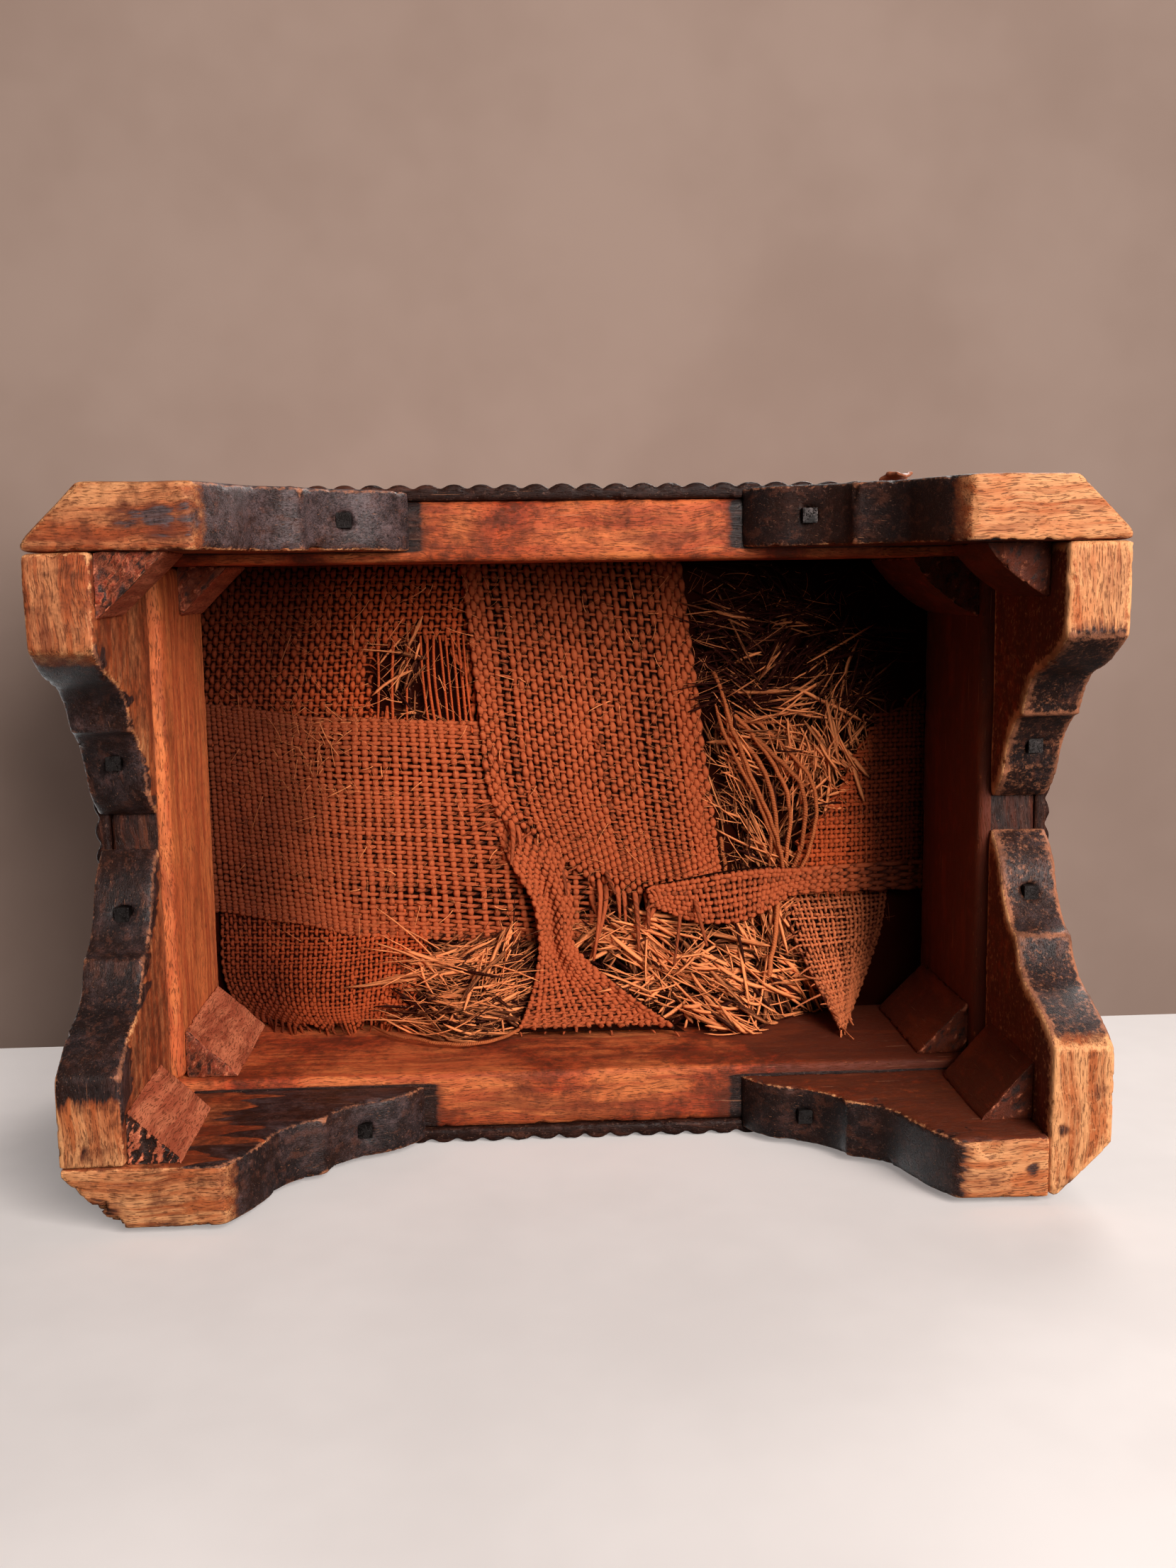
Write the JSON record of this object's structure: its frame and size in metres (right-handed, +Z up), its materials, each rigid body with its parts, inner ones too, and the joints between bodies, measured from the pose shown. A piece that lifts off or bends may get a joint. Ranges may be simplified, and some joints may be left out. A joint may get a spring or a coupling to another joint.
{
  "type": "upholstered footstool",
  "caption": "Low rectangular footstool with scroll-cut bracket feet, lobed moulding, jute webbing under straw stuffing and a crowned leather seat.",
  "frame": {"origin": "on the floor under the middle of the stool", "axes": "+X along the long side, +Y towards the back long side, +Z up"},
  "size_m": [0.314, 0.218, 0.1774],
  "materials": {
    "bracket_wood": "old dark stain worn to bare wood on the foot soles",
    "rail_wood": "bare orange-brown wood with stain runs",
    "moulding_wood": "dark stained and rubbed",
    "block_wood": "rough sawn, glue darkened",
    "cut_iron": "blackened",
    "tack_iron": "blued",
    "jute_webbing": "coarse plain weave, aged",
    "hessian": "open plain weave, aged",
    "straw": "dry stalks",
    "cover_leather": "worn semi-gloss",
    "stud_brass": "tarnished"
  },
  "bodies": {
    "root": {"back_moulding": "moulding_wood", "back_rail": "rail_wood", "base_cloth_left": "hessian", "base_cloth_right": "hessian", "bracket_back_left_long": "bracket_wood", "bracket_back_left_side": "bracket_wood", "bracket_back_right_long": "bracket_wood", "bracket_back_right_side": "bracket_wood", "bracket_front_left_long": "bracket_wood", "bracket_front_left_side": "bracket_wood", "bracket_front_right_long": "bracket_wood", "bracket_front_right_side": "bracket_wood", "bracket_nails": "cut_iron", "cover_studs": "stud_brass", "cross_webbing": "jute_webbing", "foot_block_back_left": "block_wood", "foot_block_back_right": "block_wood", "foot_block_front_left": "block_wood", "foot_block_front_right": "block_wood", "front_moulding": "moulding_wood", "front_rail": "rail_wood", "left_moulding": "moulding_wood", "left_rail": "rail_wood", "long_webbing": "jute_webbing", "rail_block_back_left": "block_wood", "rail_block_back_right": "block_wood", "rail_block_front_left": "block_wood", "rail_block_front_right": "block_wood", "right_moulding": "moulding_wood", "right_rail": "rail_wood", "seat_cover": "cover_leather", "straw_stuffing": "straw", "torn_webbing": "jute_webbing", "webbing_tacks": "tack_iron"}
  },
  "joints": []
}
